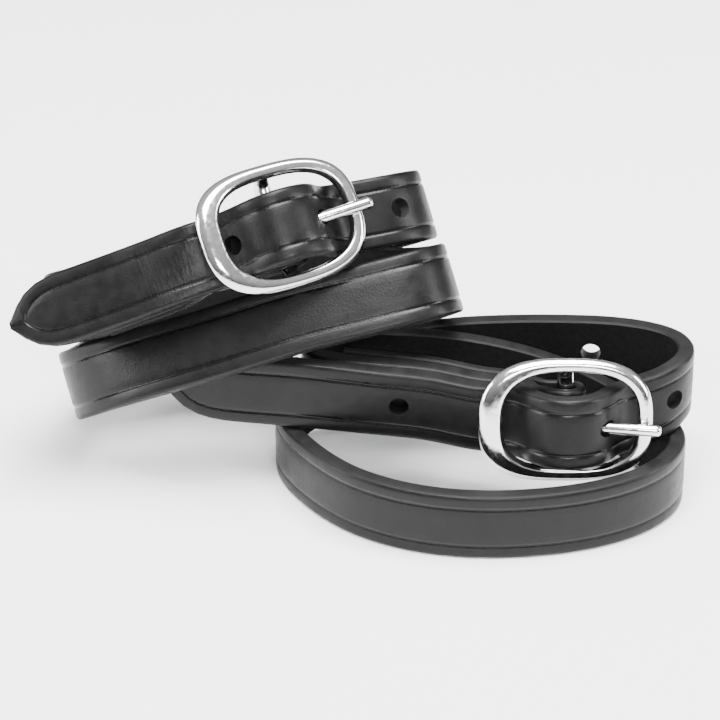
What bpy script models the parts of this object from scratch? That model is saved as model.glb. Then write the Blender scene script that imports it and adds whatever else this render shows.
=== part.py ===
"""A pair of leather spur straps, each coiled in two turns and buckled, one leaning on the other.

Tables are in millimetres: +X right, +Y away from the front, +Z up, floor at z = 0.
Each strap is one ribbon: turned-back end, fold round the buckle bar, two turns, pointed tip.
"""
import math

import bmesh
import bpy
import numpy as np
from mathutils import Matrix, Vector

MM = 0.001

# ---- driving dimensions ----------------------------------------------------
STRAP_WIDTH = 13.0
STRAP_THICKNESS = 3.0
SKIVED = 2.1
LAYER_GAP = 0.4
EDGE_BEVEL = 0.55
SAMPLE_STEP = 3.6
BEND_PER_SAMPLE = 17.0
HOLE_DIAMETER = 3.6
HOLE_SIDES = 10
TIP_PROFILE = ((0.0, 0.7), (0.8, 1.7), (2.0, 3.1), (4.0, 4.8), (6.5, 5.9), (9.0, 6.35), (11.5, 6.5))

FRAME_HALF_LENGTH = 15.4
FRAME_HALF_HEIGHT = 11.4
OPENING_HALF_LENGTH = 12.0
OPENING_HALF_HEIGHT = 8.9
OPENING_SHIFT = 0.8
FRAME_THICKNESS = 2.3
FRAME_LIFT = 0.9
FRAME_CUP = (1.7, 0.4)
FRAME_STATIONS = 40
BAR_RADIUS = 1.5
TONGUE_RADIUS = 1.1
TONGUE_LOOP_RADIUS = 3.0
TONGUE_SLOPE = 10.6
TONGUE_REACH = 17.6
TONGUE_SWING = 6.0
SLOT_HEIGHT = 3.4
SLOT_RADIUS = 4.5
CLEARANCE = 0.4

THREAD_RADIUS = 0.3
THREAD_ROW = 4.3
STITCH = 3.6
STITCH_START = 2.6
STITCHES = 7

# ---- the folded end, in the buckle's own axes: along the frame, outwards,
# thickness, and the degrees by which the strap stands up from the buckle's lean.
FOLD_IN = ((-5.8, -5.4, 1.8, 1), (-3.0, -2.9, 1.7, 0), (0.0, -2.8, 1.7, 0))
FOLD_RADIUS = 2.8
FOLD_OUT = ((0.0, 2.8, 1.7, 0), (-3.0, 1.7, 2.1, 0), (-5.6, -0.4, 2.5, 1))
BILLET = ((10.4, -1.5, 3.0, 2), (8.2, 1.1, 3.0, 0), (6.2, 4.2, 3.0, 0),
          (4.0, 6.3, 3.0, 0), (1.2, 7.2, 3.0, 0), (-1.8, 7.0, 3.0, 0), (-4.4, 5.3, 3.0, 0),
          (-6.7, 2.5, 3.0, 1), (-8.9, 0.3, 3.0, 3), (-11.6, -1.0, 3.0, 6), (-14.7, -1.6, 3.0, 9))

# ---- routes of the two coils: x, y, height of the lower edge, lean back in degrees --------------
# The first three tip rows are also followed by the two layers of the turned-back end behind.
LOWER_TIP = (
    (-8.2, 20.7, 12.0, 3), (-17, 21.5, 12.8, 3), (-26, 22.5, 13.3, 5),
    (-35, 24.2, 13.3, 6), (-44, 26.4, 12.7, 5), (-51, 28.9, 12.1, 4), (-57.5, 31.4, 11.8, 3))
LOWER_LOOP = (
    (-31.0, 30.0, 13.1, 0), (-30.0, 34.6, 12.9, 0), (-23, 36.4, 12.6, 0),
    (-6, 36.3, 11.6, 0), (8, 35.2, 9.0, 0), (20, 33.4, 4.6, 0), (28.5, 30.4, 1.2, 0),
    (33.6, 26.0, 0.1, 0), (35.2, 20.5, 0, 0), (33.6, 15, 0, 0), (29, 9.7, 0, 0),
    (20.5, 4.9, 0, 0), (10, 2.2, 0, 0), (-2, 1.6, 0, 0), (-14, 4.1, 0, 0),
    (-23.8, 9.6, 0, 0), (-31.6, 18.4, 0, 0), (-35.8, 28, 0, 0), (-34.6, 36.2, 1.0, 0),
    (-28.4, 40.8, 3.6, 0), (-19, 41.6, 7.4, 0), (-9, 40.9, 10.9, 0),
    (3.3, 40.0, 12.7, 0), (17.5, 38.8, 13.5, 0), (29, 36.8, 13.6, 0),
    (35.6, 32.4, 13.7, 0), (36.6, 27.2, 13.9, 0), (34.4, 23.2, 13.6, 2), (31.2, 21.2, 12.6, 6))
UPPER_TIP = (
    (-11.5, -2.9, 14.5, 9), (-18.5, -2.6, 14.0, 9), (-26, -1.6, 13.6, 9),
    (-36, 0.2, 13.1, 9), (-41.0, 1.3, 12.8, 9))
UPPER_LOOP = (
    (-31.4, 5.0, 13.7, 4), (-33.0, 10.8, 13.5, 1), (-29.4, 16.4, 13.1, 0), (-20, 20.2, 12.4, 0),
    (-6, 23.2, 10.8, 0), (8, 25.0, 7.4, 0), (18, 25.6, 3.8, 0), (26, 24.6, 0.8, 0),
    (31.6, 21.2, -0.6, 0), (34.8, 16.0, -1.0, 2), (35.2, 10.6, -1.0, 6), (32.2, 5.6, -0.9, 9),
    (26.0, 3.4, -0.6, 12), (17, 2.8, -0.2, 14), (8, 2.7, 0.2, 14), (-2, 2.9, 0.1, 14),
    (-14, 4.2, 0.0, 13), (-24, 7.2, 0.0, 10), (-32.0, 12.6, -0.2, 5),
    (-36.0, 19.8, -0.4, 0), (-34.6, 26.8, 0.0, 0), (-28, 31.4, 2.1, 0),
    (-18, 32.8, 5.6, 0), (-7, 32.4, 9.4, 0), (5, 31.8, 12.2, 0), (17.5, 30.9, 13.2, 0),
    (27.5, 28.4, 13.3, 0), (33.4, 23.6, 13.2, 0), (34.2, 17.6, 13.2, 3), (29.0, 11.8, 13.7, 5))

# ---- placing ---------------------------------------------------------------
LOWER_BUCKLE = ((14.5, 17.4, 18.2), 0.0, 13.5)
UPPER_BUCKLE = ((9.2, 1.2, 21.6), 23.0, 8.0)
FLOOR_ORIGIN = (23.191, -31.671, 0.069)
UPPER_ORIGIN = (-16.209, -10.671, 27.369)
UPPER_ALONG = (1.0, 0.10, 0.284)
UPPER_AXIS = (-0.285, 0.49, 0.82)

LOWER_HOLES = (44.0, 101.0, 129.0)
UPPER_HOLES = (43.5, 82.5, 92.5, 105.0, 117.5)

LEATHER_BLACK = (0.016, 0.016, 0.017, 1.0)
THREAD_BLACK = (0.03, 0.03, 0.032, 1.0)
NICKEL = (0.62, 0.62, 0.64, 1.0)


# ---- small helpers ---------------------------------------------------------
def clear_scene():
    for item in list(bpy.data.objects):
        bpy.data.objects.remove(item, do_unlink=True)


def collection(name, hidden=False):
    group = bpy.data.collections.new(name)
    bpy.context.scene.collection.children.link(group)
    group.hide_render = hidden
    return group


def material(name, colour, metallic, roughness):
    made = bpy.data.materials.new(name)
    made.use_nodes = True
    shader = made.node_tree.nodes["Principled BSDF"]
    shader.inputs["Base Color"].default_value = colour
    shader.inputs["Metallic"].default_value = metallic
    shader.inputs["Roughness"].default_value = roughness
    made.diffuse_color = colour
    return made


def unit(vector):
    vector = np.asarray(vector, float)
    return vector / np.linalg.norm(vector, axis=-1, keepdims=True)


class Place:
    """Axes of a coil: along, back and up, with an origin, all in millimetres."""

    def __init__(self, origin, along, axis):
        self.origin = np.array(origin, float)
        self.along = unit(along)
        back = unit(np.cross(unit(axis), self.along))
        self.back = back
        self.axis = np.cross(self.along, back)

    def point(self, p):
        return self.origin + p[0] * self.along + p[1] * self.back + p[2] * self.axis

    def direction(self, p):
        return p[0] * self.along + p[1] * self.back + p[2] * self.axis


class Seat:
    """The buckle's own axes inside a coil: u along the frame, w outwards, a along the bar."""

    def __init__(self, place, bar, yaw, back):
        turn, lean = math.radians(yaw), math.radians(back)
        along = np.array([math.cos(turn), math.sin(turn), 0.0])
        out = np.array([math.sin(turn), -math.cos(turn), 0.0])
        up = np.array([0.0, 0.0, 1.0])
        self.u = place.direction(along)
        self.a = place.direction(up * math.cos(lean) - out * math.sin(lean))
        self.w = place.direction(out * math.cos(lean) + up * math.sin(lean))
        self.bar = place.point(np.array(bar, float))

    def at(self, u, w, a=0.0):
        return self.bar + u * self.u + w * self.w + a * self.a


def route_rows(place, table):
    """World rows (x, y, z of the centre, width direction, thickness) from a route table."""
    rows = []
    for x, y, low, lean in table:
        angle = math.radians(lean)
        centre = place.point((x, y, low + STRAP_WIDTH / 2 * math.cos(angle)))
        across = place.direction((0.0, math.sin(angle), math.cos(angle)))
        rows.append(list(centre) + list(across) + [STRAP_THICKNESS])
    return rows


def seat_rows(seat, table):
    """World rows from a buckle table; the last column stands the strap up by so many degrees."""
    rows = []
    for u, w, thick, upright in table:
        angle = math.radians(upright)
        across = seat.a * math.cos(angle) + seat.w * math.sin(angle)
        rows.append(list(seat.at(u, w)) + list(across) + [thick])
    return rows


def behind(rows, depth, thick):
    """The rows of a layer lying `depth` behind the given ones, on their flesh side."""
    p = np.array(rows, float)
    tangent = unit(np.gradient(p[:, :3], axis=0))
    grain = unit(np.cross(p[:, 3:6], tangent))
    p[:, :3] -= grain * depth
    p[:, 6] = thick
    return [list(row) for row in p]


def fold_table():
    angles = (math.radians(a) for a in (45, 90, 135))
    return [(FOLD_RADIUS * math.sin(a), -FOLD_RADIUS * math.cos(a), 1.7, 0) for a in angles]


def smooth(rows, step):
    """Natural cubic spline through the rows, sampled about every `step` millimetres."""
    p = np.array(rows, float)
    gap = np.linalg.norm(p[1:, :3] - p[:-1, :3], axis=1)
    n = len(p)
    a = np.zeros((n, n))
    b = np.zeros_like(p)
    a[0, 0] = a[-1, -1] = 1.0
    for i in range(1, n - 1):
        h0, h1 = gap[i - 1], gap[i]
        a[i, i - 1], a[i, i], a[i, i + 1] = h0, 2 * (h0 + h1), h1
        b[i] = 6 * ((p[i + 1] - p[i]) / h1 - (p[i] - p[i - 1]) / h0)
    m = np.linalg.solve(a, b)
    chord = unit(p[1:, :3] - p[:-1, :3])
    turn = np.degrees(np.arccos(np.clip((chord[1:] * chord[:-1]).sum(1), -1, 1)))
    turn = np.concatenate([[turn[0]], turn, [turn[-1]]])
    out = []
    for i in range(n - 1):
        h = gap[i]
        bend = (turn[i] + turn[i + 1]) / 2
        count = max(1, int(round(h / step)), int(math.ceil(bend / BEND_PER_SAMPLE)))
        for j in range(count):
            s = (1 - j / count, j / count)
            curve = (s[0] ** 3 - s[0]) * m[i] + (s[1] ** 3 - s[1]) * m[i + 1]
            out.append(s[0] * p[i] + s[1] * p[i + 1] + curve * h * h / 6)
    out.append(p[-1])
    return np.array(out)


class Ribbon:
    """Centre line with width direction, grain-side direction, thickness and length from the tip."""

    def __init__(self, rows, step):
        fine = smooth(rows, step)
        self.centre = fine[:, :3]
        gap = np.linalg.norm(self.centre[1:] - self.centre[:-1], axis=1)
        run = np.concatenate([[0.0], np.cumsum(gap)])
        tangent = unit(np.gradient(self.centre, run, axis=0))
        up = unit(fine[:, 3:6])
        self.across = unit(up - (tangent * up).sum(1)[:, None] * tangent)
        self.grain = np.cross(self.across, tangent)
        self.thick = fine[:, 6]
        self.from_tip = run[-1] - run

    def at(self, from_tip):
        """Centre, across and grain at a distance from the tip."""
        i = int(np.searchsorted(-self.from_tip, -from_tip)) - 1
        i = min(max(i, 0), len(self.centre) - 2)
        k = (self.from_tip[i] - from_tip) / (self.from_tip[i] - self.from_tip[i + 1])
        pair = [(1 - k) * v[i] + k * v[i + 1] for v in (self.centre, self.across, self.grain)]
        return pair[0], unit(pair[1]), unit(pair[2])


def add_mesh(name, points, faces, group, made):
    mesh = bpy.data.meshes.new(name)
    mesh.from_pydata([tuple(p) for p in points], [], faces)
    mesh.update()
    item = bpy.data.objects.new(name, mesh)
    group.objects.link(item)
    if made is not None:
        mesh.materials.append(made)
    solid = bmesh.new()
    solid.from_mesh(mesh)
    bmesh.ops.recalc_face_normals(solid, faces=solid.faces)
    solid.to_mesh(mesh)
    solid.free()
    return item


def loft(name, rings, group, made, closed=False):
    """Skin equal rings of points; open ends are capped."""
    count, size = len(rings), len(rings[0])
    points = [Vector(p) * MM for ring in rings for p in ring]
    faces = []
    for i in range(count if closed else count - 1):
        for j in range(size):
            k = (j + 1) % size
            n = (i + 1) % count
            faces.append((i * size + j, i * size + k, n * size + k, n * size + j))
    if not closed:
        faces.append(tuple(reversed(range(size))))
        faces.append(tuple((count - 1) * size + j for j in range(size)))
    return add_mesh(name, points, faces, group, made)


def tube(name, points, radius, group, made, sides=2):
    """Round wire through a polyline, with capped ends, turned into a mesh."""
    line = bpy.data.curves.new(name, "CURVE")
    line.dimensions = "3D"
    line.bevel_depth = radius * MM
    line.bevel_resolution = sides
    line.use_fill_caps = True
    spline = line.splines.new("POLY")
    spline.points.add(len(points) - 1)
    for slot, p in zip(spline.points, points):
        slot.co = (p[0] * MM, p[1] * MM, p[2] * MM, 1.0)
    guide = bpy.data.objects.new(name + "_guide", line)
    group.objects.link(guide)
    bpy.context.view_layer.update()
    mesh = bpy.data.meshes.new_from_object(guide.evaluated_get(bpy.context.evaluated_depsgraph_get()))
    bpy.data.objects.remove(guide, do_unlink=True)
    solid = bmesh.new()
    solid.from_mesh(mesh)
    bmesh.ops.remove_doubles(solid, verts=solid.verts, dist=1e-6)
    bmesh.ops.recalc_face_normals(solid, faces=solid.faces)
    solid.to_mesh(mesh)
    solid.free()
    mesh.name = name
    mesh.materials.clear()
    item = bpy.data.objects.new(name, mesh)
    group.objects.link(item)
    if made is not None:
        mesh.materials.append(made)
    return item


def cylinder(name, centre, axis, radius, length, sides, group):
    mesh = bpy.data.meshes.new(name)
    solid = bmesh.new()
    bmesh.ops.create_cone(solid, cap_ends=True, segments=sides, radius1=radius * MM,
                          radius2=radius * MM, depth=length * MM)
    turn = Vector(axis).to_track_quat("Z", "Y").to_matrix().to_4x4()
    turn.translation = Vector(centre) * MM
    bmesh.ops.transform(solid, matrix=turn, verts=solid.verts)
    solid.to_mesh(mesh)
    solid.free()
    item = bpy.data.objects.new(name, mesh)
    group.objects.link(item)
    return item


def boolean(item, other, kind="DIFFERENCE"):
    step = item.modifiers.new(other.name, "BOOLEAN")
    step.operation = kind
    step.solver = "EXACT"
    step.object = other
    other.display_type = "WIRE"
    other.hide_render = True


# ---- the strap -------------------------------------------------------------
def half_width(from_tip):
    distances = [d for d, _ in TIP_PROFILE]
    halves = [h for _, h in TIP_PROFILE]
    return float(np.interp(from_tip, distances, halves))


def section(half, thick):
    """Strap section with bevelled edges: across, grain side positive."""
    t = thick / 2
    c = min(EDGE_BEVEL, half * 0.5, t * 0.5)
    return ((half, t - c), (half - c, t), (c - half, t), (-half, t - c),
            (-half, c - t), (c - half, -t), (half - c, -t), (half, c - t))


def strap(name, ribbon, group, made):
    rings = []
    stops = list(ribbon.from_tip)
    stops += [d for d, _ in TIP_PROFILE if d > 0.0]
    stops = sorted(set(round(s, 2) for s in stops), reverse=True)
    stops = [s for i, s in enumerate(stops) if i == 0 or stops[i - 1] - s > 0.45 or s == 0.0]
    for s in stops:
        centre, across, grain = ribbon.at(s)
        thick = float(np.interp(-s, -ribbon.from_tip, ribbon.thick))
        half = half_width(s)
        rings.append([centre + across * a + grain * g for a, g in section(half, thick)])
    return loft(name, rings, group, made)


def tongue_line(seat, swing=0.0):
    """Wire wrapped round the bar, then straight out over the frame."""
    start = 90.0 + TONGUE_SLOPE
    spots = []
    for i in range(14):
        angle = math.radians(start + 255.0 * (13 - i) / 13)
        spots.append((TONGUE_LOOP_RADIUS * math.cos(angle), TONGUE_LOOP_RADIUS * math.sin(angle)))
    slope = math.radians(TONGUE_SLOPE)
    for run in (4.0, 9.0, TONGUE_REACH):
        spots.append((spots[13][0] + run * math.cos(slope), spots[13][1] + run * math.sin(slope)))
    turn = math.radians(swing)
    return [seat.at(u * math.cos(turn) - w * math.sin(turn), u * math.sin(turn) + w * math.cos(turn))
            for u, w in spots]


def stitch_line(ribbon):
    """One thread: down one row of the turn, across behind its nose and back up the other row."""
    length = ribbon.from_tip[0]
    facing = np.where((ribbon.from_tip < length - 42.0) & (ribbon.from_tip > length - 95.0))[0]
    sides = []
    for side in (1, -1):
        row = []
        for k in range(STITCHES):
            stop = length - STITCH_START - STITCH * (STITCHES - 1 - k)
            centre, across, grain = ribbon.at(stop)
            offset = across * THREAD_ROW * side
            thick = float(np.interp(-stop, -ribbon.from_tip, ribbon.thick))
            back = centre + grain * (thick / 2 - 0.05) + offset
            near = facing[np.argmin(np.linalg.norm(ribbon.centre[facing] - centre, axis=1))]
            depth = (ribbon.centre[near] - centre) @ ribbon.grain[near] + ribbon.thick[near] / 2 - 0.65
            front = centre + ribbon.grain[near] * depth + offset
            row += [back, front] if k % 2 == 0 else [front, back]
        sides.append(row[:-1])
    return sides[0] + sides[1][::-1]


def pass_hole(tag, seat, cutters):
    """Slotted hole the tongue passes through, along the tongue's middle position."""
    line = tongue_line(seat, TONGUE_SWING / 2)
    hole = cylinder(tag + "_tongue_hole", (0, 0, 0), (1, 0, 0), TONGUE_RADIUS + CLEARANCE,
                    9.5, 12, cutters)
    run = unit(line[16] - line[14])
    axes = np.stack([run, seat.a, np.cross(run, seat.a) * 1.4], 1)
    move = Matrix([list(row) + [0.0] for row in axes] + [[0.0, 0.0, 0.0, 1.0]])
    move.translation = Vector((line[14] + run * 4.2) * MM)
    hole.data.transform(move)
    return hole


def coil(tag, place, loop, tip, buckle, holes, group, cutters, looks):
    seat = Seat(place, *buckle)
    billet, end = seat_rows(seat, BILLET), route_rows(place, tip)
    stack = (billet + end)[len(billet) - 5:len(billet) + 4]
    main = behind(stack, STRAP_THICKNESS + LAYER_GAP, STRAP_THICKNESS)[2:-1]
    turned = behind(stack, 1.5 * STRAP_THICKNESS + 2 * LAYER_GAP + SKIVED / 2, SKIVED)[3:-1]
    rows = turned[::-1] + seat_rows(seat, FOLD_IN) + seat_rows(seat, fold_table())
    rows += seat_rows(seat, FOLD_OUT) + main + route_rows(place, loop) + billet + end
    fine = Ribbon(rows, 0.5)
    leather = strap(tag + "_strap", Ribbon(rows, SAMPLE_STEP), group, looks["leather"])
    for i, stop in enumerate(holes):
        centre, _, grain = fine.at(stop)
        boolean(leather, cylinder(f"{tag}_hole_{i}", centre, grain, HOLE_DIAMETER / 2,
                                  STRAP_THICKNESS + 0.3, HOLE_SIDES, cutters))
    boolean(leather, cylinder(tag + "_tongue_slot", seat.bar, seat.a, SLOT_RADIUS, SLOT_HEIGHT,
                              20, cutters))
    boolean(leather, pass_hole(tag, seat, cutters))
    path = stitch_line(fine)
    way = [path[0] + (path[0] - path[1]) * 0.12] + path + [path[-1] + (path[-1] - path[-2]) * 0.12]
    boolean(leather, tube(tag + "_thread_way", way, THREAD_RADIUS + 0.42, cutters, None, 1))
    tube(tag + "_stitching", path, THREAD_RADIUS, group, looks["thread"], 1)
    frame = frame_ring(tag, seat, group, cutters, looks["nickel"])
    tongue = tube(tag + "_buckle_tongue", tongue_line(seat), TONGUE_RADIUS, group, looks["nickel"], 2)
    for item in (frame, tongue):
        move_origin(item, seat.bar)


def move_origin(item, spot):
    shift = Vector(spot) * MM
    item.data.transform(Matrix.Translation(-shift))
    item.location = shift


def oval(half_length, half_height, angle, shift=0.0):
    power = 2.0 / 2.8
    c, s = math.cos(angle), math.sin(angle)
    return (shift + half_length * math.copysign(abs(c) ** power, c),
            half_height * math.copysign(abs(s) ** power, s))


def frame_ring(tag, seat, group, cutters, made):
    """Oval frame, cupped towards its ends, with the centre bar bent back behind it."""
    rings = []
    for i in range(FRAME_STATIONS):
        angle = 2 * math.pi * (i + 0.5) / FRAME_STATIONS
        outer = np.array(oval(FRAME_HALF_LENGTH, FRAME_HALF_HEIGHT, angle))
        inner = np.array(oval(OPENING_HALF_LENGTH, OPENING_HALF_HEIGHT, angle, OPENING_SHIFT))
        middle = (outer + inner) / 2
        cup = FRAME_CUP[int(middle[0] > 0)] * (middle[0] / 13.5) ** 2 + 2.75
        ring = []
        for across, rise in ((0, -0.55), (0.22, -1), (0.78, -1), (1, -0.4), (1, 0.25), (0.74, 0.9),
                             (0.4, 1), (0.12, 0.75)):
            u, a = inner + (outer - inner) * across
            ring.append(seat.at(u, cup + rise * FRAME_THICKNESS / 2, a + FRAME_LIFT))
        rings.append(ring)
    frame = loft(tag + "_buckle_frame", rings, group, made, closed=True)
    half = FRAME_HALF_HEIGHT - 1.1
    bar = [(2.1, -half), (1.2, -half + 0.7), (0.3, -half + 1.5), (0.0, -half + 2.3)]
    bar += [(w, -a) for w, a in reversed(bar)]
    line = [seat.at(0.0, w, a + FRAME_LIFT) for w, a in bar]
    boolean(frame, tube(tag + "_bar", line, BAR_RADIUS, cutters, None, 2), "UNION")
    return frame


def build():
    clear_scene()
    group = collection("spur_straps")
    cutters = collection("spur_strap_cutters", hidden=True)
    looks = {"leather": material("black_leather", LEATHER_BLACK, 0.0, 0.4),
             "thread": material("black_thread", THREAD_BLACK, 0.0, 0.7),
             "nickel": material("nickel_plate", NICKEL, 1.0, 0.18)}
    floor = Place(FLOOR_ORIGIN, (1, 0, 0), (0, 0, 1))
    raised = Place(UPPER_ORIGIN, UPPER_ALONG, UPPER_AXIS)
    coil("lower", floor, LOWER_LOOP, LOWER_TIP, LOWER_BUCKLE, LOWER_HOLES,
         group, cutters, looks)
    coil("upper", raised, UPPER_LOOP, UPPER_TIP, UPPER_BUCKLE, UPPER_HOLES,
         group, cutters, looks)


build()
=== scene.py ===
"""Looks for the pair of spur straps: fine leather, creases, holes, buckles, light and camera.

Tables are in millimetres in each coil's own axes. They repeat the CAD part's tables, but for the
layer leaving the fold, which is thinner here, and a closer channel round the thread.
"""
import math

import bmesh
import bpy
import numpy as np
from mathutils import Matrix, Vector


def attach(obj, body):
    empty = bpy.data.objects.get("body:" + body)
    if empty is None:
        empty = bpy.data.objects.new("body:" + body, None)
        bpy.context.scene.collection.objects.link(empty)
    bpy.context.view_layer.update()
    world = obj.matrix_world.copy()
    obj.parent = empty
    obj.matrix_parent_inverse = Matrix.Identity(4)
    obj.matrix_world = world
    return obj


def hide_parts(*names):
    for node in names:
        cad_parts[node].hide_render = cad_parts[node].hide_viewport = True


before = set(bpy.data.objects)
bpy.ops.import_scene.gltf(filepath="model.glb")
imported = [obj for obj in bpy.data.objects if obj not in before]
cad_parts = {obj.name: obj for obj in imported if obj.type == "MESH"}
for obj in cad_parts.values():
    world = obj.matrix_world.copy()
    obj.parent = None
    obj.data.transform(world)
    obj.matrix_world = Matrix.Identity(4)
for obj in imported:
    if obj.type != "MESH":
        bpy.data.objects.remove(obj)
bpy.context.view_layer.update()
MM = 0.001

# ---- camera: looking along +Y and down at the pair ----------------------------
CAMERA_TARGET = (1.20, -1.67, 23.67)
CAMERA_RISE = 32.0
CAMERA_DISTANCE = 600.0
CAMERA_LENS = 165.9
CAMERA_SHIFT_Y = -0.005

# ---- leather ------------------------------------------------------------------
STRAP_WIDTH = 13.0
STRAP_THICKNESS = 3.0
SKIVED = 2.1
LAYER_GAP = 0.4
SAMPLE_STEP = 0.9
BEND_PER_SAMPLE = 6.0
CREASE_INSET = 2.6
CREASE_HALF = 0.5
CREASE_DEPTH = 0.17
HOLE_DIAMETER = 3.6
HOLE_SIDES = 36
TIP_PROFILE = ((0.0, 0.7), (0.8, 1.7), (2.0, 3.1), (4.0, 4.8), (6.5, 5.9), (9.0, 6.35), (11.5, 6.5))
TIP_STEP = 0.4
LEAST_ADVANCE = 0.06

# ---- buckle -------------------------------------------------------------------
FRAME_HALF_LENGTH = 15.4
FRAME_HALF_HEIGHT = 11.4
OPENING_HALF_LENGTH = 12.0
OPENING_HALF_HEIGHT = 8.9
OPENING_SHIFT = 0.8
FRAME_THICKNESS = 2.3
FRAME_LIFT = 0.9
FRAME_CUP = (1.7, 0.4)
FRAME_BASE = 2.75
CUP_REACH = 13.5
OVAL_SHARPNESS = 2.8
FRAME_STATIONS = 144
FRAME_SECTION = ((0, -0.55), (0.22, -1), (0.78, -1), (1, -0.4), (1, 0.25), (0.74, 0.9), (0.4, 1),
                 (0.12, 0.75))
SECTION_SPLIT = 4
BAR_RADIUS = 1.5
TONGUE_RADIUS = 1.1
TONGUE_LOOP_RADIUS = 3.0
TONGUE_SLOPE = 10.6
TONGUE_REACH = 17.6
TONGUE_SWING = 6.0
WIRE_TURN = 255.0
WIRE_STEPS = 13
SLOT_HEIGHT = 3.4
SLOT_RADIUS = 4.5
CLEARANCE = 0.4

THREAD_RADIUS = 0.3
THREAD_ROW = 4.3
THREAD_ROOM = 0.3
STITCH = 3.6
STITCH_START = 2.6
STITCHES = 7
STITCH_DEPTH = 0.65
STITCHED_ONTO = (42.0, 95.0)

# ---- the folded end, in the buckle's own axes: along the frame, outwards, thickness,
# and the degrees by which the strap stands up from the buckle's lean ------------
FOLD_IN = ((-5.8, -5.4, 1.8, 1), (-3.0, -2.9, 1.7, 0), (0.0, -2.8, 1.7, 0))
FOLD_RADIUS = 2.8
FOLD_THICKNESS = 1.7
FOLD_OUT = ((0.0, 2.8, 1.6, 0), (-3.0, 1.6, 1.7, 0), (-5.6, -0.6, 1.9, 1))
BILLET = ((10.4, -1.5, 3.0, 2), (8.2, 1.1, 3.0, 0), (6.2, 4.2, 3.0, 0),
          (4.0, 6.3, 3.0, 0), (1.2, 7.2, 3.0, 0), (-1.8, 7.0, 3.0, 0), (-4.4, 5.3, 3.0, 0),
          (-6.7, 2.5, 3.0, 1), (-8.9, 0.3, 3.0, 3), (-11.6, -1.0, 3.0, 6), (-14.7, -1.6, 3.0, 9))

# ---- routes of the two coils: x, y, height of the lower edge, lean back in degrees
LOWER_TIP = (
    (-8.2, 20.7, 12.0, 3), (-17, 21.5, 12.8, 3), (-26, 22.5, 13.3, 5),
    (-35, 24.2, 13.3, 6), (-44, 26.4, 12.7, 5), (-51, 28.9, 12.1, 4), (-57.5, 31.4, 11.8, 3))
LOWER_LOOP = (
    (-31.0, 30.0, 13.1, 0), (-30.0, 34.6, 12.9, 0), (-23, 36.4, 12.6, 0),
    (-6, 36.3, 11.6, 0), (8, 35.2, 9.0, 0), (20, 33.4, 4.6, 0), (28.5, 30.4, 1.2, 0),
    (33.6, 26.0, 0.1, 0), (35.2, 20.5, 0, 0), (33.6, 15, 0, 0), (29, 9.7, 0, 0),
    (20.5, 4.9, 0, 0), (10, 2.2, 0, 0), (-2, 1.6, 0, 0), (-14, 4.1, 0, 0),
    (-23.8, 9.6, 0, 0), (-31.6, 18.4, 0, 0), (-35.8, 28, 0, 0), (-34.6, 36.2, 1.0, 0),
    (-28.4, 40.8, 3.6, 0), (-19, 41.6, 7.4, 0), (-9, 40.9, 10.9, 0),
    (3.3, 40.0, 12.7, 0), (17.5, 38.8, 13.5, 0), (29, 36.8, 13.6, 0),
    (35.6, 32.4, 13.7, 0), (36.6, 27.2, 13.9, 0), (34.4, 23.2, 13.6, 2), (31.2, 21.2, 12.6, 6))
UPPER_TIP = (
    (-11.5, -2.9, 14.5, 9), (-18.5, -2.6, 14.0, 9), (-26, -1.6, 13.6, 9),
    (-36, 0.2, 13.1, 9), (-41.0, 1.3, 12.8, 9))
UPPER_LOOP = (
    (-31.4, 5.0, 13.7, 4), (-33.0, 10.8, 13.5, 1), (-29.4, 16.4, 13.1, 0), (-20, 20.2, 12.4, 0),
    (-6, 23.2, 10.8, 0), (8, 25.0, 7.4, 0), (18, 25.6, 3.8, 0), (26, 24.6, 0.8, 0),
    (31.6, 21.2, -0.6, 0), (34.8, 16.0, -1.0, 2), (35.2, 10.6, -1.0, 6), (32.2, 5.6, -0.9, 9),
    (26.0, 3.4, -0.6, 12), (17, 2.8, -0.2, 14), (8, 2.7, 0.2, 14), (-2, 2.9, 0.1, 14),
    (-14, 4.2, 0.0, 13), (-24, 7.2, 0.0, 10), (-32.0, 12.6, -0.2, 5),
    (-36.0, 19.8, -0.4, 0), (-34.6, 26.8, 0.0, 0), (-28, 31.4, 2.1, 0),
    (-18, 32.8, 5.6, 0), (-7, 32.4, 9.4, 0), (5, 31.8, 12.2, 0), (17.5, 30.9, 13.2, 0),
    (27.5, 28.4, 13.3, 0), (33.4, 23.6, 13.2, 0), (34.2, 17.6, 13.2, 3), (29.0, 11.8, 13.7, 5))

# ---- placing --------------------------------------------------------------------
LOWER_BUCKLE = ((14.5, 17.4, 18.2), 0.0, 13.5)
UPPER_BUCKLE = ((9.2, 1.2, 21.6), 23.0, 8.0)
FLOOR_ORIGIN = (23.191, -31.671, 0.069)
UPPER_ORIGIN = (-16.209, -10.671, 27.369)
UPPER_ALONG = (1.0, 0.10, 0.284)
UPPER_AXIS = (-0.285, 0.49, 0.82)
LOWER_HOLES = (44.0, 101.0, 129.0)
UPPER_HOLES = (43.5, 82.5, 92.5, 105.0, 117.5)

GRAIN, EDGE, FLESH = 0, 1, 2
MAP_SCALE = 0.01
FLOOR_HALF = 3.0


# ---- geometry helpers -------------------------------------------------------------
def unit(vector):
    vector = np.asarray(vector, float)
    return vector / np.linalg.norm(vector, axis=-1, keepdims=True)


class Place:
    """Axes of a coil: along, back and up, with an origin, all in millimetres."""

    def __init__(self, origin, along, axis):
        self.origin = np.array(origin, float)
        self.along = unit(along)
        self.back = unit(np.cross(unit(axis), self.along))
        self.axis = np.cross(self.along, self.back)

    def point(self, p):
        return self.origin + self.direction(p)

    def direction(self, p):
        return p[0] * self.along + p[1] * self.back + p[2] * self.axis


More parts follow.
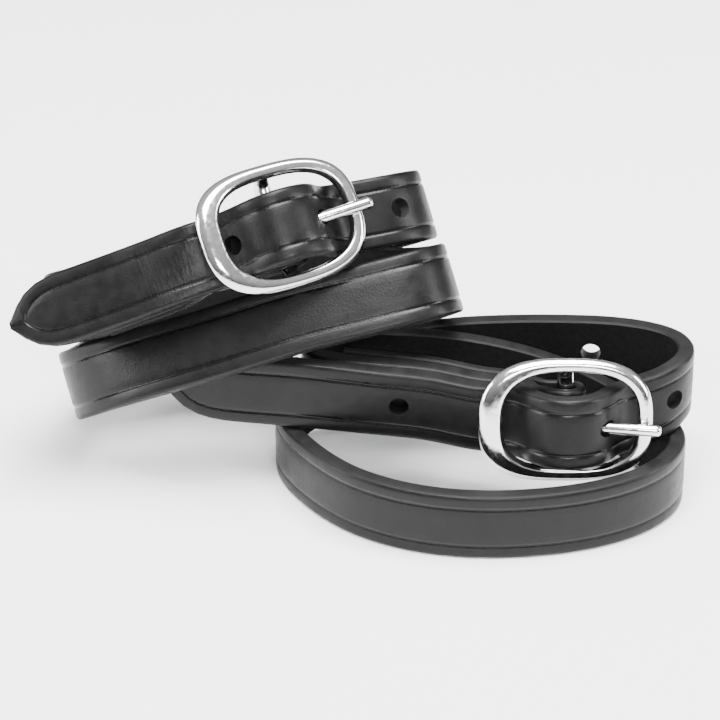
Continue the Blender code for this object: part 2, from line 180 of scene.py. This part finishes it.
class Seat:
    """The buckle's own axes inside a coil: u along the frame, w outwards, a along the bar."""

    def __init__(self, place, bar, yaw, back):
        turn, lean = math.radians(yaw), math.radians(back)
        along = np.array([math.cos(turn), math.sin(turn), 0.0])
        out = np.array([math.sin(turn), -math.cos(turn), 0.0])
        up = np.array([0.0, 0.0, 1.0])
        self.u = place.direction(along)
        self.a = place.direction(up * math.cos(lean) - out * math.sin(lean))
        self.w = place.direction(out * math.cos(lean) + up * math.sin(lean))
        self.bar = place.point(np.array(bar, float))

    def at(self, u, w, a=0.0):
        return self.bar + u * self.u + w * self.w + a * self.a


def route_rows(place, table):
    """Rows of x, y, z of the centre, width direction and thickness from a route table."""
    rows = []
    for x, y, low, lean in table:
        angle = math.radians(lean)
        centre = place.point((x, y, low + STRAP_WIDTH / 2 * math.cos(angle)))
        across = place.direction((0.0, math.sin(angle), math.cos(angle)))
        rows.append(list(centre) + list(across) + [STRAP_THICKNESS])
    return rows


def seat_rows(seat, table):
    """Rows from a buckle table; the last column stands the strap up by so many degrees."""
    rows = []
    for u, w, thick, upright in table:
        angle = math.radians(upright)
        across = seat.a * math.cos(angle) + seat.w * math.sin(angle)
        rows.append(list(seat.at(u, w)) + list(across) + [thick])
    return rows


def behind(rows, depth, thick):
    """The rows of a layer lying `depth` behind the given ones, on their flesh side."""
    p = np.array(rows, float)
    tangent = unit(np.gradient(p[:, :3], axis=0))
    grain = unit(np.cross(p[:, 3:6], tangent))
    p[:, :3] -= grain * depth
    p[:, 6] = thick
    return [list(row) for row in p]


def fold_table():
    angles = (math.radians(a) for a in (45, 90, 135))
    return [(FOLD_RADIUS * math.sin(a), -FOLD_RADIUS * math.cos(a), FOLD_THICKNESS, 0) for a in angles]


def smooth(rows, step):
    """Natural cubic spline through the rows, sampled about every `step` millimetres."""
    p = np.array(rows, float)
    gap = np.linalg.norm(p[1:, :3] - p[:-1, :3], axis=1)
    n = len(p)
    a = np.zeros((n, n))
    b = np.zeros_like(p)
    a[0, 0] = a[-1, -1] = 1.0
    for i in range(1, n - 1):
        h0, h1 = gap[i - 1], gap[i]
        a[i, i - 1], a[i, i], a[i, i + 1] = h0, 2 * (h0 + h1), h1
        b[i] = 6 * ((p[i + 1] - p[i]) / h1 - (p[i] - p[i - 1]) / h0)
    m = np.linalg.solve(a, b)
    chord = unit(p[1:, :3] - p[:-1, :3])
    turn = np.degrees(np.arccos(np.clip((chord[1:] * chord[:-1]).sum(1), -1, 1)))
    turn = np.concatenate([[turn[0]], turn, [turn[-1]]])
    out = []
    for i in range(n - 1):
        h = gap[i]
        bend = (turn[i] + turn[i + 1]) / 2
        count = max(1, int(round(h / step)), int(math.ceil(bend / BEND_PER_SAMPLE)))
        for j in range(count):
            s = (1 - j / count, j / count)
            curve = (s[0] ** 3 - s[0]) * m[i] + (s[1] ** 3 - s[1]) * m[i + 1]
            out.append(s[0] * p[i] + s[1] * p[i + 1] + curve * h * h / 6)
    out.append(p[-1])
    return np.array(out)


class Ribbon:
    """Centre line with width direction, grain-side direction, thickness and length from the tip."""

    def __init__(self, rows, step):
        fine = smooth(rows, step)
        self.centre = fine[:, :3]
        gap = np.linalg.norm(self.centre[1:] - self.centre[:-1], axis=1)
        run = np.concatenate([[0.0], np.cumsum(gap)])
        tangent = unit(np.gradient(self.centre, run, axis=0))
        up = unit(fine[:, 3:6])
        self.across = unit(up - (tangent * up).sum(1)[:, None] * tangent)
        self.grain = np.cross(self.across, tangent)
        self.thick = fine[:, 6]
        self.from_tip = run[-1] - run

    def at(self, from_tip):
        """Centre, across and grain at a distance from the tip."""
        i = int(np.searchsorted(-self.from_tip, -from_tip)) - 1
        i = min(max(i, 0), len(self.centre) - 2)
        k = (self.from_tip[i] - from_tip) / (self.from_tip[i] - self.from_tip[i + 1])
        pair = [(1 - k) * v[i] + k * v[i + 1] for v in (self.centre, self.across, self.grain)]
        return pair[0], unit(pair[1]), unit(pair[2])

    def thickness(self, from_tip):
        return float(np.interp(-from_tip, -self.from_tip, self.thick))


def put(name, data):
    """An object for the data, in the scene."""
    item = bpy.data.objects.new(name, data)
    bpy.context.scene.collection.objects.link(item)
    return item


def applied(item):
    """The object's mesh with its modifiers or curve turned into faces."""
    bpy.context.view_layer.update()
    graph = bpy.context.evaluated_depsgraph_get()
    return bpy.data.meshes.new_from_object(item.evaluated_get(graph))


def add_mesh(name, points, faces, looks, slots=None):
    """A mesh object; `slots` gives the material slot of each face."""
    mesh = bpy.data.meshes.new(name)
    mesh.from_pydata([tuple(p) for p in points], [], faces)
    for look in looks:
        mesh.materials.append(look)
    if slots is not None:
        mesh.polygons.foreach_set("material_index", slots)
    mesh.update()
    return put(name, mesh)


def face_out(mesh, weld=0.0):
    """Turns every face outwards, after joining points within `weld` metres."""
    solid = bmesh.new()
    solid.from_mesh(mesh)
    if weld:
        bmesh.ops.remove_doubles(solid, verts=solid.verts, dist=weld)
    bmesh.ops.recalc_face_normals(solid, faces=solid.faces)
    solid.to_mesh(mesh)
    solid.free()


def loft(name, rings, looks, closed=False, slot_of=None, cap_slot=0):
    """Skin equal rings of points; open ends are capped."""
    count, size = len(rings), len(rings[0])
    points = [Vector(p) * MM for ring in rings for p in ring]
    faces, slots = [], []
    for i in range(count if closed else count - 1):
        for j in range(size):
            k, n = (j + 1) % size, (i + 1) % count
            faces.append((i * size + j, i * size + k, n * size + k, n * size + j))
            slots.append(slot_of[j] if slot_of else 0)
    if not closed:
        faces.append(tuple(reversed(range(size))))
        faces.append(tuple((count - 1) * size + j for j in range(size)))
        slots += [cap_slot, cap_slot]
    item = add_mesh(name, points, faces, looks, slots)
    face_out(item.data)
    return item


def tube(name, points, radius, looks, sides=4, swell=None):
    """Round wire through a polyline; `swell` gives each point's share of the radius."""
    line = bpy.data.curves.new(name, "CURVE")
    line.dimensions = "3D"
    line.bevel_depth = radius * MM
    line.bevel_resolution = sides
    line.use_fill_caps = True
    spline = line.splines.new("POLY")
    spline.points.add(len(points) - 1)
    for i, (slot, p) in enumerate(zip(spline.points, points)):
        slot.co = (p[0] * MM, p[1] * MM, p[2] * MM, 1.0)
        slot.radius = swell[i] if swell else 1.0
    guide = put(name + "_guide", line)
    mesh = applied(guide)
    bpy.data.objects.remove(guide, do_unlink=True)
    face_out(mesh, 1e-6)
    mesh.name = name
    mesh.materials.clear()
    for look in looks:
        mesh.materials.append(look)
    return put(name, mesh)


def cylinder(name, centre, axis, radius, length, sides):
    mesh = bpy.data.meshes.new(name)
    solid = bmesh.new()
    bmesh.ops.create_cone(solid, cap_ends=True, segments=sides, radius1=radius * MM,
                          radius2=radius * MM, depth=length * MM)
    turn = Vector(axis).to_track_quat("Z", "Y").to_matrix().to_4x4()
    turn.translation = Vector(centre) * MM
    bmesh.ops.transform(solid, matrix=turn, verts=solid.verts)
    solid.to_mesh(mesh)
    solid.free()
    return put(name, mesh)


def cut(item, other, looks=(), kind="DIFFERENCE"):
    """Applies a Boolean and removes the cutter; a cut's walls show the leather's edge."""
    for look in looks:
        other.data.materials.append(look)
    if looks:
        other.data.polygons.foreach_set("material_index", [EDGE] * len(other.data.polygons))
    step = item.modifiers.new(other.name, "BOOLEAN")
    step.operation = kind
    step.solver = "EXACT"
    step.object = other
    mesh = applied(item)
    item.modifiers.clear()
    item.data = mesh
    bpy.data.objects.remove(other, do_unlink=True)


def round_off(item, degrees):
    """Smooth shading with edges sharper than so many degrees left crisp."""
    item.data.shade_smooth()
    item.data.set_sharp_from_angle(angle=math.radians(degrees))


# ---- the strap ----------------------------------------------------------------------
def half_width(from_tip):
    distances = [d for d, _ in TIP_PROFILE]
    halves = [h for _, h in TIP_PROFILE]
    return float(np.interp(from_tip, distances, halves))


def crease_place(from_tip):
    """Distance of the crease from the centre line: it keeps its inset from edge and tip alike."""
    outline = [(d, half_width(d)) for d in np.arange(0.0, from_tip + CREASE_INSET + 0.3, 0.25)]
    outline = [(0.0, h) for h in np.arange(0.0, TIP_PROFILE[0][1], 0.2)] + outline
    outline = np.array(outline)
    for across in np.arange(STRAP_WIDTH / 2, 0.0, -0.05):
        if across > half_width(from_tip):
            continue
        if np.hypot(outline[:, 0] - from_tip, outline[:, 1] - across).min() >= CREASE_INSET - 0.02:
            return across
    return 0.0


def section(half, crease, thick):
    """Points round the strap and the slot of the face after each: grain side, edge, flesh side."""
    t = thick / 2
    k = min(1.0, half / 2.2)
    depth = CREASE_DEPTH * min(1.0, crease / 0.8)
    c = max(crease, 0.02)
    w = min(CREASE_HALF, c * 0.8, (half - c) * 0.4)
    side = [(half, 0.1, EDGE), (half - 0.03 * k, t - 0.62, EDGE), (half - 0.16 * k, t - 0.28, GRAIN),
            (half - 0.42 * k, t - 0.07, GRAIN), (half - 0.85 * k, t, GRAIN),
            (c + w * 1.2, t + 0.02, GRAIN), (c + w * 0.6, t - depth * 0.25, GRAIN),
            (c + w * 0.25, t - depth * 0.85, GRAIN), (c - w * 0.25, t - depth * 0.85, GRAIN),
            (c - w * 0.6, t - depth * 0.25, GRAIN), (c - w * 1.2, t + 0.02, GRAIN),
            (c * 0.5, t + 0.03, GRAIN)]
    grain = side + [(0.0, t + 0.04, GRAIN)]
    back = [(-a, g, s) for a, g, s in side][::-1]
    slots = [p[2] for p in grain] + [GRAIN] * (len(side) - 3) + [EDGE, EDGE, EDGE]
    flesh = [(-half, 0.35 - t), (-half + 0.3 * k, -t), (-half * 0.4, -t), (half * 0.4, -t),
             (half - 0.3 * k, -t), (half, 0.35 - t)]
    points = [(a, g) for a, g, _ in grain + back] + flesh
    slots += [EDGE, FLESH, FLESH, FLESH, EDGE, EDGE]
    return points, slots


def strap(name, ribbon, looks):
    """The leather, with a map of the distances from the tip and across, times MAP_SCALE."""
    stops = list(ribbon.from_tip) + list(np.arange(0.0, TIP_PROFILE[-1][0] + 3.0, TIP_STEP))
    stops = sorted(set(round(s, 3) for s in stops), reverse=True)
    stops = [s for i, s in enumerate(stops) if i == 0 or stops[i - 1] - s > 0.15 or s == 0.0]
    rings, spots = [], []
    straight = crease_place(30.0)
    for s in stops:
        centre, across, grain = ribbon.at(s)
        half = half_width(s)
        crease = crease_place(s) if s < 20.0 else straight
        points, slots = section(half, crease, ribbon.thickness(s))
        ring = np.array([centre + across * a + grain * g for a, g in points])
        if rings and 0.0 < s and ((ring - rings[-1]) @ np.cross(grain, across)).min() < LEAST_ADVANCE:
            continue
        rings.append(ring)
        c = max(crease, 0.02)
        even = np.interp([abs(a) for a, _ in points], [0.0, c, half], [0.0, straight, STRAP_WIDTH / 2])
        spots.append([(s, math.copysign(v, a)) for v, (a, _) in zip(even, points)])
    item = loft(name, rings, looks, slot_of=slots, cap_slot=EDGE)
    flat = [spot for row in spots for spot in row]
    layer = item.data.uv_layers.new(name="along_across")
    for loop in item.data.loops:
        along, across = flat[loop.vertex_index]
        layer.data[loop.index].uv = (along * MAP_SCALE, across * MAP_SCALE)
    return item


def tongue_line(seat, swing=0.0):
    """Wire wrapped round the bar, then straight out over the frame."""
    start = 90.0 + TONGUE_SLOPE
    spots = []
    for i in range(WIRE_STEPS + 1):
        angle = math.radians(start + WIRE_TURN * (WIRE_STEPS - i) / WIRE_STEPS)
        spots.append((TONGUE_LOOP_RADIUS * math.cos(angle), TONGUE_LOOP_RADIUS * math.sin(angle)))
    slope = math.radians(TONGUE_SLOPE)
    u, w = spots[WIRE_STEPS]
    for run in (4.0, 9.0, TONGUE_REACH - 0.9, TONGUE_REACH - 0.5, TONGUE_REACH - 0.2, TONGUE_REACH):
        spots.append((u + run * math.cos(slope), w + run * math.sin(slope)))
    turn = math.radians(swing)
    return [seat.at(u * math.cos(turn) - w * math.sin(turn), u * math.sin(turn) + w * math.cos(turn))
            for u, w in spots]


def stitch_line(ribbon):
    """One thread: down one row of the turn, across behind its nose and back up the other row."""
    length = ribbon.from_tip[0]
    first, last = STITCHED_ONTO
    facing = np.where((ribbon.from_tip < length - first) & (ribbon.from_tip > length - last))[0]
    sides = []
    for side in (1, -1):
        row = []
        for k in range(STITCHES):
            stop = length - STITCH_START - STITCH * (STITCHES - 1 - k)
            centre, across, grain = ribbon.at(stop)
            offset = across * THREAD_ROW * side
            back = centre + grain * (ribbon.thickness(stop) / 2 - 0.05) + offset
            near = facing[np.argmin(np.linalg.norm(ribbon.centre[facing] - centre, axis=1))]
            depth = (ribbon.centre[near] - centre) @ ribbon.grain[near]
            depth += ribbon.thick[near] / 2 - STITCH_DEPTH
            front = centre + ribbon.grain[near] * depth + offset
            row += [back, front] if k % 2 == 0 else [front, back]
        sides.append(row[:-1])
    return sides[0] + sides[1][::-1]


def pass_hole(tag, seat):
    """Slotted hole the tongue passes through, along the tongue's middle position."""
    line = tongue_line(seat, TONGUE_SWING / 2)
    hole = cylinder(tag + "_tongue_hole", (0, 0, 0), (1, 0, 0), TONGUE_RADIUS + CLEARANCE, 9.5, 32)
    root = line[WIRE_STEPS + 1]
    run = unit(line[WIRE_STEPS + 3] - root)
    axes = np.stack([run, seat.a, np.cross(run, seat.a) * 1.4], 1)
    move = Matrix([list(row) + [0.0] for row in axes] + [[0.0, 0.0, 0.0, 1.0]])
    move.translation = Vector((root + run * 4.2) * MM)
    hole.data.transform(move)
    return hole


def leather_strap(tag, seat, place, loop, tip, holes, looks):
    billet, end = seat_rows(seat, BILLET), route_rows(place, tip)
    stack = (billet + end)[len(billet) - 5:len(billet) + 4]
    main = behind(stack, STRAP_THICKNESS + LAYER_GAP, STRAP_THICKNESS)[2:-1]
    turned = behind(stack, 1.5 * STRAP_THICKNESS + 2 * LAYER_GAP + SKIVED / 2, SKIVED)[3:-1]
    rows = turned[::-1] + seat_rows(seat, FOLD_IN) + seat_rows(seat, fold_table())
    rows += seat_rows(seat, FOLD_OUT) + main + route_rows(place, loop) + billet + end
    ribbon = Ribbon(rows, SAMPLE_STEP)
    faces = (looks[tag], looks["edge"], looks["flesh"])
    item = strap(tag + "_leather", ribbon, faces)
    for i, stop in enumerate(holes):
        centre, _, grain = ribbon.at(stop)
        cut(item, cylinder(f"{tag}_hole_{i}", centre, grain, HOLE_DIAMETER / 2,
                           STRAP_THICKNESS + 0.6, HOLE_SIDES), faces)
    cut(item, cylinder(tag + "_tongue_slot", seat.bar, seat.a, SLOT_RADIUS, SLOT_HEIGHT, 48), faces)
    cut(item, pass_hole(tag, seat), faces)
    path = stitch_line(ribbon)
    way = [path[0] + (path[0] - path[1]) * 0.12] + path + [path[-1] + (path[-1] - path[-2]) * 0.12]
    cut(item, tube(tag + "_thread_way", way, THREAD_RADIUS + THREAD_ROOM, (), 2), faces)
    round_off(item, 38)
    thread = tube(tag + "_thread", path, THREAD_RADIUS, (looks["thread"],), 4)
    round_off(thread, 50)
    return item, thread


# ---- the buckle -----------------------------------------------------------------------
def oval(half_length, half_height, angle, shift=0.0):
    power = 2.0 / OVAL_SHARPNESS
    c, s = math.cos(angle), math.sin(angle)
    return (shift + half_length * math.copysign(abs(c) ** power, c),
            half_height * math.copysign(abs(s) ** power, s))


def rounded(points, split):
    """Closed Catmull-Rom curve through the points."""
    p = np.array(points, float)
    n = len(p)
    out = []
    for i in range(n):
        a, b, c, d = p[i - 1], p[i], p[(i + 1) % n], p[(i + 2) % n]
        for j in range(split):
            t = j / split
            out.append(0.5 * (2 * b + (c - a) * t + (2 * a - 5 * b + 4 * c - d) * t * t
                              + (3 * b - a - 3 * c + d) * t ** 3))
    return out


def frame_ring(name, seat, look):
    """Oval frame, cupped towards its ends, with the centre bar bent back behind it."""
    shape = rounded(FRAME_SECTION, SECTION_SPLIT)
    rings = []
    for i in range(FRAME_STATIONS):
        angle = 2 * math.pi * (i + 0.5) / FRAME_STATIONS
        outer = np.array(oval(FRAME_HALF_LENGTH, FRAME_HALF_HEIGHT, angle))
        inner = np.array(oval(OPENING_HALF_LENGTH, OPENING_HALF_HEIGHT, angle, OPENING_SHIFT))
        middle = (outer + inner) / 2
        cup = FRAME_CUP[int(middle[0] > 0)] * (middle[0] / CUP_REACH) ** 2 + FRAME_BASE
        ring = []
        for across, rise in shape:
            u, a = inner + (outer - inner) * across
            ring.append(seat.at(u, cup + rise * FRAME_THICKNESS / 2, a + FRAME_LIFT))
        rings.append(ring)
    item = loft(name, rings, (look,), closed=True)
    half = FRAME_HALF_HEIGHT - 1.1
    bar = [(2.7, -half), (1.9, -half + 0.7), (0.8, -half + 1.5), (0.1, -half + 2.4),
           (0.0, -half + 4.0)]
    bar += [(w, -a) for w, a in reversed(bar)]
    swell = [0.5, 0.72, 0.9, 1.0, 1.0]
    line = [seat.at(0.0, w, a + FRAME_LIFT) for w, a in bar]
    cut(item, tube(name + "_bar", line, BAR_RADIUS, (look,), 6, swell + swell[::-1]), (), "UNION")
    round_off(item, 50)
    return item


def buckle_tongue(name, seat, look):
    line = tongue_line(seat)
    swell = [1.0] * (len(line) - 3) + [0.93, 0.74, 0.42]
    item = tube(name, line, TONGUE_RADIUS, (look,), 7, swell)
    round_off(item, 45)
    return item


# ---- materials ---------------------------------------------------------------------------
class Look:
    """A node material built a node at a time."""

    def __init__(self, name, colour, roughness, metallic=0.0):
        self.material = bpy.data.materials.new(name)
        self.material.use_nodes = True
        self.nodes = self.material.node_tree.nodes
        self.links = self.material.node_tree.links
        self.shader = self.nodes["Principled BSDF"]
        self.shader.inputs["Base Color"].default_value = (*colour, 1.0)
        self.shader.inputs["Roughness"].default_value = roughness
        self.shader.inputs["Metallic"].default_value = metallic
        self.last_bump = None

    def add(self, kind, **values):
        node = self.nodes.new(kind)
        for key, value in values.items():
            if hasattr(node, key):
                setattr(node, key, value)
            else:
                node.inputs[key.replace("_", " ")].default_value = value
        return node

    def link(self, source, node, name):
        self.links.new(source, node.inputs[name])

    def place(self):
        return self.add("ShaderNodeTexCoord").outputs["Object"]

    def noise(self, size, detail=4.0, roughness=0.55):
        """Noise with features of about `size` millimetres."""
        node = self.add("ShaderNodeTexNoise", Scale=1.0 / (size * MM), Detail=detail, Roughness=roughness)
        self.link(self.place(), node, "Vector")
        return node.outputs["Fac"]

    def cells(self, size):
        """Distance to the nearest of points about `size` millimetres apart."""
        node = self.add("ShaderNodeTexVoronoi", Scale=1.0 / (size * MM))
        self.link(self.place(), node, "Vector")
        return node.outputs["Distance"]

    def ranged(self, source, low, high, to_low, to_high):
        node = self.add("ShaderNodeMapRange")
        self.link(source, node, "Value")
        for key, value in (("From Min", low), ("From Max", high), ("To Min", to_low), ("To Max", to_high)):
            node.inputs[key].default_value = value
        return node.outputs["Result"]

    def math(self, operation, first, second):
        node = self.add("ShaderNodeMath", operation=operation)
        for i, value in enumerate((first, second)):
            if isinstance(value, (int, float)):
                node.inputs[i].default_value = value
            else:
                self.links.new(value, node.inputs[i])
        return node.outputs[0]

    def shade(self, source, dark, light):
        """Base colour between two colours."""
        node = self.add("ShaderNodeMix", data_type="RGBA")
        self.link(source, node, "Factor")
        node.inputs[6].default_value = (*dark, 1.0)
        node.inputs[7].default_value = (*light, 1.0)
        self.links.new(node.outputs[2], self.shader.inputs["Base Color"])

    def bump(self, source, depth, strength=1.0):
        """Adds relief `depth` millimetres deep."""
        node = self.add("ShaderNodeBump", Strength=strength, Distance=depth * MM)
        self.link(source, node, "Height")
        if self.last_bump:
            self.link(self.last_bump, node, "Normal")
        self.last_bump = node.outputs["Normal"]
        self.link(self.last_bump, self.shader, "Normal")

    def gloss(self, source):
        self.link(source, self.shader, "Roughness")


def strap_map(look):
    """The strap's map, split: X along from the tip and Y across, both times MAP_SCALE."""
    uv = look.add("ShaderNodeUVMap", uv_map="along_across")
    split = look.add("ShaderNodeSeparateXYZ")
    look.link(uv.outputs["UV"], split, "Vector")
    return split


def stretched(look, split, along, across):
    """Texture place with features `along` by `across` millimetres on the strap."""
    join = look.add("ShaderNodeCombineXYZ")
    look.links.new(look.math("MULTIPLY", split.outputs["X"], 1 / MAP_SCALE / along), join.inputs["X"])
    look.links.new(look.math("MULTIPLY", split.outputs["Y"], 1 / MAP_SCALE / across), join.inputs["Y"])
    return join.outputs["Vector"]


def leather_look(name, wrinkled):
    """Smooth bridle leather; `wrinkled` adds fine creases across the billet by the buckle."""
    look = Look(name, (0.004, 0.004, 0.0041), 0.4)
    look.shader.inputs["Specular IOR Level"].default_value = 0.18
    look.shade(look.noise(6.0), (0.002, 0.002, 0.0021), (0.006, 0.0059, 0.0058))
    split = strap_map(look)
    across = look.math("MULTIPLY", look.math("ABSOLUTE", split.outputs["Y"], 0.0), 1 / MAP_SCALE)
    scuff = look.ranged(look.noise(2.2, 6.0), 0.3, 0.75, 0.3, 0.46)
    crease = STRAP_WIDTH / 2 - CREASE_INSET
    from_crease = look.math("ABSOLUTE", look.math("SUBTRACT", across, crease), 0.0)
    look.gloss(look.math("ADD", scuff, look.ranged(from_crease, 0.2, 0.7, -0.14, 0.0)))
    look.bump(look.cells(0.4), 0.03, 0.6)
    look.bump(look.noise(0.16, 3.0), 0.02, 0.5)
    look.bump(look.noise(3.0, 3.0), 0.12, 0.35)
    if wrinkled:
        along = look.math("MULTIPLY", split.outputs["X"], 1 / MAP_SCALE)
        wrinkle = look.add("ShaderNodeTexNoise", Scale=1.0, Detail=4.0, Roughness=0.55)
        look.links.new(stretched(look, split, 0.55, 3.2), wrinkle.inputs["Vector"])
        start = look.ranged(along, 20.0, 30.0, 0.0, 1.0)
        stop = look.ranged(along, 44.0, 52.0, 1.0, 0.0)
        zone = look.math("MULTIPLY", look.math("MULTIPLY", start, stop), wrinkle.outputs["Fac"])
        look.bump(zone, 0.16, 0.6)
    return look.material


def edge_look():
    look = Look("leather_edge", (0.008, 0.008, 0.0083), 0.5)
    look.shader.inputs["Specular IOR Level"].default_value = 0.16
    split = strap_map(look)
    fibre = look.add("ShaderNodeTexNoise", Scale=1.0, Detail=6.0, Roughness=0.65)
    look.links.new(stretched(look, split, 2.6, 0.3), fibre.inputs["Vector"])
    look.shade(fibre.outputs["Fac"], (0.002, 0.002, 0.0021), (0.016, 0.0158, 0.0155))
    look.gloss(look.ranged(fibre.outputs["Fac"], 0.3, 0.7, 0.4, 0.62))
    look.bump(look.noise(0.35, 6.0, 0.7), 0.12, 0.6)
    look.bump(fibre.outputs["Fac"], 0.12, 0.5)
    return look.material


def flesh_look():
    look = Look("leather_flesh", (0.006, 0.006, 0.006), 0.85)
    look.shader.inputs["Specular IOR Level"].default_value = 0.1
    look.shade(look.noise(1.1, 6.0), (0.002, 0.002, 0.002), (0.009, 0.0088, 0.0086))
    look.gloss(look.ranged(look.noise(0.8), 0.3, 0.7, 0.66, 0.92))
    look.bump(look.noise(0.28, 8.0, 0.75), 0.2, 0.6)
    look.bump(look.noise(2.4, 3.0), 0.2, 0.3)
    return look.material


def thread_look():
    look = Look("waxed_thread", (0.02, 0.02, 0.022), 0.6)
    look.shade(look.noise(0.2), (0.01, 0.01, 0.011), (0.05, 0.05, 0.052))
    look.bump(look.noise(0.12), 0.05, 0.8)
    return look.material


def nickel_look():
    look = Look("nickel_plate", (0.74, 0.735, 0.73), 0.12, 1.0)
    look.shade(look.noise(2.5, 5.0), (0.62, 0.615, 0.61), (0.82, 0.815, 0.81))
    look.gloss(look.ranged(look.noise(0.9, 6.0), 0.3, 0.75, 0.07, 0.24))
    look.bump(look.noise(2.0, 3.0), 0.07, 0.4)
    pits = look.ranged(look.cells(0.55), 0.0, 0.28, 0.0, 1.0)
    look.bump(pits, 0.02, 0.35)
    return look.material


# ---- staging --------------------------------------------------------------------------------
def floor_plane():
    mesh = bpy.data.meshes.new("floor")
    corners = [(x * FLOOR_HALF, y * FLOOR_HALF, 0) for x, y in ((-1, -1), (1, -1), (1, 1), (-1, 1))]
    mesh.from_pydata(corners, [], [(0, 1, 2, 3)])
    item = put("floor", mesh)
    look = Look("pale_floor", (0.93, 0.93, 0.93), 0.8)
    look.shade(look.noise(60.0), (0.92, 0.92, 0.92), (0.95, 0.95, 0.95))
    mesh.materials.append(look.material)


def soft_box(name, place, target, size, power):
    light = bpy.data.lights.new(name, "AREA")
    light.shape = "RECTANGLE"
    light.size, light.size_y = size
    light.energy = power
    item = put(name, light)
    item.location = place
    item.rotation_euler = (Vector(target) - Vector(place)).to_track_quat("-Z", "Y").to_euler()


def camera():
    data = bpy.data.cameras.new("camera")
    data.sensor_width = 36.0
    data.lens = CAMERA_LENS
    data.shift_y = CAMERA_SHIFT_Y
    data.clip_start = 0.05
    item = put("camera", data)
    rise = math.radians(CAMERA_RISE)
    target = Vector(CAMERA_TARGET) * MM
    item.location = target + Vector((0.0, -math.cos(rise), math.sin(rise))) * CAMERA_DISTANCE * MM
    item.rotation_euler = (math.radians(90.0 - CAMERA_RISE), 0.0, 0.0)
    bpy.context.scene.camera = item


def studio():
    """Grey surround that brightens overhead, with soft boxes above and at both sides."""
    world = bpy.data.worlds.new("studio")
    world.use_nodes = True
    nodes, links = world.node_tree.nodes, world.node_tree.links
    place = nodes.new("ShaderNodeTexCoord")
    split = nodes.new("ShaderNodeSeparateXYZ")
    ramp = nodes.new("ShaderNodeValToRGB")
    ramp.color_ramp.elements[0].position = 0.05
    ramp.color_ramp.elements[0].color = (0.1, 0.1, 0.1, 1.0)
    ramp.color_ramp.elements[1].position = 0.85
    ramp.color_ramp.elements[1].color = (0.75, 0.75, 0.75, 1.0)
    links.new(place.outputs["Generated"], split.inputs["Vector"])
    links.new(split.outputs["Z"], ramp.inputs["Fac"])
    links.new(ramp.outputs["Color"], nodes["Background"].inputs["Color"])
    nodes["Background"].inputs["Strength"].default_value = 1.0
    bpy.context.scene.world = world
    soft_box("top", (0.05, -0.05, 0.8), (0, 0, 0.02), (0.6, 0.4), 26.0)
    soft_box("front", (0.1, -0.75, 0.55), (0, 0, 0.02), (0.35, 0.2), 7.0)
    soft_box("left", (-0.7, -0.15, 0.3), (0, 0, 0.03), (0.25, 0.5), 7.0)
    soft_box("right", (0.7, -0.1, 0.3), (0, 0, 0.03), (0.2, 0.45), 6.0)


# ---- putting it together ------------------------------------------------------------------------
def finish_piece(item, body, node):
    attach(item, body)
    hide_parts(node)


def coil(tag, place, loop, tip, buckle, holes, looks):
    seat = Seat(place, *buckle)
    item, thread = leather_strap(tag, seat, place, loop, tip, holes, looks)
    finish_piece(item, tag + "_coil", tag + "_strap")
    finish_piece(thread, tag + "_coil", tag + "_stitching")
    ring = frame_ring(tag + "_frame_ring", seat, looks["nickel"])
    finish_piece(ring, tag + "_frame", tag + "_buckle_frame")
    tongue = buckle_tongue(tag + "_tongue_wire", seat, looks["nickel"])
    finish_piece(tongue, tag + "_tongue", tag + "_buckle_tongue")


camera()
studio()
floor_plane()
LOOKS = {"lower": leather_look("lower_black_leather", False),
         "upper": leather_look("upper_black_leather", True), "edge": edge_look(), "flesh": flesh_look(),
         "thread": thread_look(), "nickel": nickel_look()}
coil("lower", Place(FLOOR_ORIGIN, (1, 0, 0), (0, 0, 1)), LOWER_LOOP, LOWER_TIP, LOWER_BUCKLE,
     LOWER_HOLES, LOOKS)
coil("upper", Place(UPPER_ORIGIN, UPPER_ALONG, UPPER_AXIS), UPPER_LOOP, UPPER_TIP, UPPER_BUCKLE,
     UPPER_HOLES, LOOKS)
